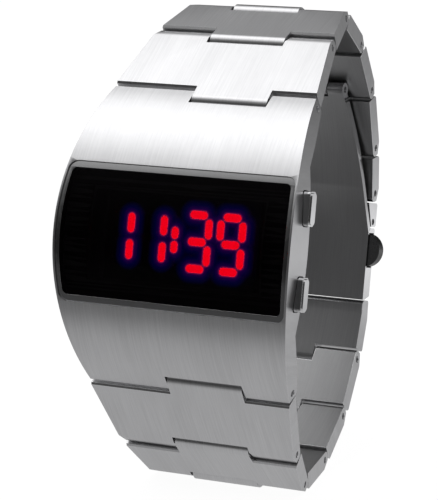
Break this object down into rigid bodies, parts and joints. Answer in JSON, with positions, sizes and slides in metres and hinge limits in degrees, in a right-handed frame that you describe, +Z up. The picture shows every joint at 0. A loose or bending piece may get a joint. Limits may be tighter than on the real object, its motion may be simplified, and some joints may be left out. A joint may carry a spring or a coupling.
{
  "type": "led watch",
  "caption": "Digital wristwatch with an arched steel case, a black window with glowing bars, side pushers and a folding steel bracelet of hinged links.",
  "frame": {"origin": "centre of the flat outer face of the third lower bracelet link, on which the watch stands", "axes": "+X across the watch towards the pushers, +Z up, -Y to the side that the dial faces; the dial leans back by 17.5 degrees"},
  "size_m": [0.0429, 0.0585, 0.0754],
  "materials": {
    "steel": "satin, brushed along the bracelet",
    "polished_steel": "polished",
    "pin_steel": "turned",
    "dark_lens": "very dark, glossy",
    "seal_rubber": "matt",
    "lit_bars": "lit red",
    "unlit_bars": "unlit, dark red",
    "circuit_board": "lacquered",
    "chip_resin": "matt",
    "frame_plastic": "matt"
  },
  "bodies": {
    "case": {"case_body": "steel", "window_frame": "polished_steel", "lens": "dark_lens", "lens_gasket": "seal_rubber", "display_lit": "lit_bars", "display_unlit": "unlit_bars", "display_board": "circuit_board", "timing_chip": "chip_resin", "quartz_crystal": "polished_steel", "module_frame": "frame_plastic", "coin_cell": "polished_steel", "cell_strap": "polished_steel", "case_back_gasket": "seal_rubber", "case_back": "steel", "case_back_screws": "pin_steel", "case_pins": "pin_steel", "pusher_spring_upper": "pin_steel", "pusher_spring_lower": "pin_steel"},
    "pusher_upper": {"pusher_upper": "polished_steel", "pusher_clip_upper": "pin_steel"},
    "pusher_lower": {"pusher_lower": "polished_steel", "pusher_clip_lower": "pin_steel"},
    "upper_link_1": {"upper_link_1": "steel", "upper_pin_2": "pin_steel"},
    "upper_link_2": {"upper_link_2": "steel", "upper_pin_3": "pin_steel"},
    "upper_link_3": {"upper_link_3": "steel", "upper_pin_4": "pin_steel"},
    "upper_link_4": {"upper_link_4": "steel", "upper_pin_5": "pin_steel"},
    "upper_link_5": {"upper_link_5": "steel", "upper_pin_6": "pin_steel"},
    "upper_link_6": {"upper_link_6": "steel", "upper_pin_7": "pin_steel"},
    "lower_link_1": {"lower_link_1": "steel", "lower_pin_2": "pin_steel"},
    "lower_link_2": {"lower_link_2": "steel", "lower_pin_3": "pin_steel"},
    "lower_link_3": {"lower_link_3": "steel", "lower_pin_4": "pin_steel"},
    "lower_link_4": {"lower_link_4": "steel", "lower_pin_5": "pin_steel"},
    "lower_link_5": {"lower_link_5": "steel", "lower_pin_6": "pin_steel"},
    "lower_link_6": {"lower_link_6": "steel", "clasp_spring_bar": "pin_steel"},
    "clasp_arm": {"clasp_arm": "steel", "clasp_arm_pin": "pin_steel", "clasp_hinge_pin": "pin_steel"},
    "clasp_base": {"clasp_base": "steel", "clasp_spring_left": "pin_steel", "clasp_spring_right": "pin_steel"},
    "clasp_button_left": {"clasp_button_left": "pin_steel"},
    "clasp_button_right": {"clasp_button_right": "pin_steel"}
  },
  "joints": [
    {"name": "upper_hinge_1", "type": "hinge", "parent": "case", "child": "upper_link_1", "pos_m": [0, -0.0044, 0.06399], "axis": [1, 0, 0], "range_deg": [0, 12]},
    {"name": "upper_hinge_2", "type": "hinge", "parent": "upper_link_1", "child": "upper_link_2", "pos_m": [0, 0.0072, 0.07109], "axis": [1, 0, 0], "range_deg": [0, 18]},
    {"name": "upper_hinge_3", "type": "hinge", "parent": "upper_link_2", "child": "upper_link_3", "pos_m": [0, 0.0166, 0.07388], "axis": [1, 0, 0], "range_deg": [0, 54]},
    {"name": "upper_hinge_4", "type": "hinge", "parent": "upper_link_3", "child": "upper_link_4", "pos_m": [0, 0.02561, 0.06757], "axis": [1, 0, 0], "range_deg": [0, 24]},
    {"name": "upper_hinge_5", "type": "hinge", "parent": "upper_link_4", "child": "upper_link_5", "pos_m": [0, 0.03168, 0.05839], "axis": [1, 0, 0], "range_deg": [0, 24]},
    {"name": "upper_hinge_6", "type": "hinge", "parent": "upper_link_5", "child": "upper_link_6", "pos_m": [0, 0.03406, 0.04765], "axis": [1, 0, 0], "range_deg": [0, 18]},
    {"name": "upper_hinge_7", "type": "hinge", "parent": "upper_link_6", "child": "clasp_arm", "pos_m": [0, 0.03371, 0.03966], "axis": [1, 0, 0], "range_deg": [0, 15]},
    {"name": "clasp_hinge", "type": "hinge", "parent": "clasp_arm", "child": "clasp_base", "pos_m": [0, 0.02823, 0.05905], "axis": [-1, 0, 0], "range_deg": [0, 60]},
    {"name": "lower_hinge_1", "type": "hinge", "parent": "case", "child": "lower_link_1", "pos_m": [0, -0.01775, 0.02164], "axis": [-1, 0, 0], "range_deg": [0, 12]},
    {"name": "lower_hinge_2", "type": "hinge", "parent": "lower_link_1", "child": "lower_link_2", "pos_m": [0, -0.01233, 0.00917], "axis": [-1, 0, 0], "range_deg": [0, 18]},
    {"name": "lower_hinge_3", "type": "hinge", "parent": "lower_link_2", "child": "lower_link_3", "pos_m": [0, -0.00622, 0.0015], "axis": [-1, 0, 0], "range_deg": [0, 54]},
    {"name": "lower_hinge_4", "type": "hinge", "parent": "lower_link_3", "child": "lower_link_4", "pos_m": [0, 0.00477, 0.0015], "axis": [-1, 0, 0], "range_deg": [0, 24]},
    {"name": "lower_hinge_5", "type": "hinge", "parent": "lower_link_4", "child": "lower_link_5", "pos_m": [0, 0.01501, 0.00553], "axis": [-1, 0, 0], "range_deg": [0, 24]},
    {"name": "lower_hinge_6", "type": "hinge", "parent": "lower_link_5", "child": "lower_link_6", "pos_m": [0, 0.02312, 0.01296], "axis": [-1, 0, 0], "range_deg": [0, 18]},
    {"name": "pusher_upper_press", "type": "slide", "parent": "case", "child": "pusher_upper", "axis": [-1, 0, 0], "range_m": [0, 0.0008], "stiffness_N_per_m": 1000, "springref_m": -0.001, "deforming": ["pusher_spring_upper"]},
    {"name": "pusher_lower_press", "type": "slide", "parent": "case", "child": "pusher_lower", "axis": [-1, 0, 0], "range_m": [0, 0.0008], "stiffness_N_per_m": 1000, "springref_m": -0.001, "deforming": ["pusher_spring_lower"]},
    {"name": "clasp_button_left_press", "type": "slide", "parent": "clasp_base", "child": "clasp_button_left", "axis": [1, 0, 0], "range_m": [0, 0.0006], "stiffness_N_per_m": 1500, "springref_m": -0.001, "deforming": ["clasp_spring_left"]},
    {"name": "clasp_button_right_press", "type": "slide", "parent": "clasp_base", "child": "clasp_button_right", "axis": [-1, 0, 0], "range_m": [0, 0.0006], "stiffness_N_per_m": 1500, "springref_m": -0.001, "deforming": ["clasp_spring_right"]}
  ]
}
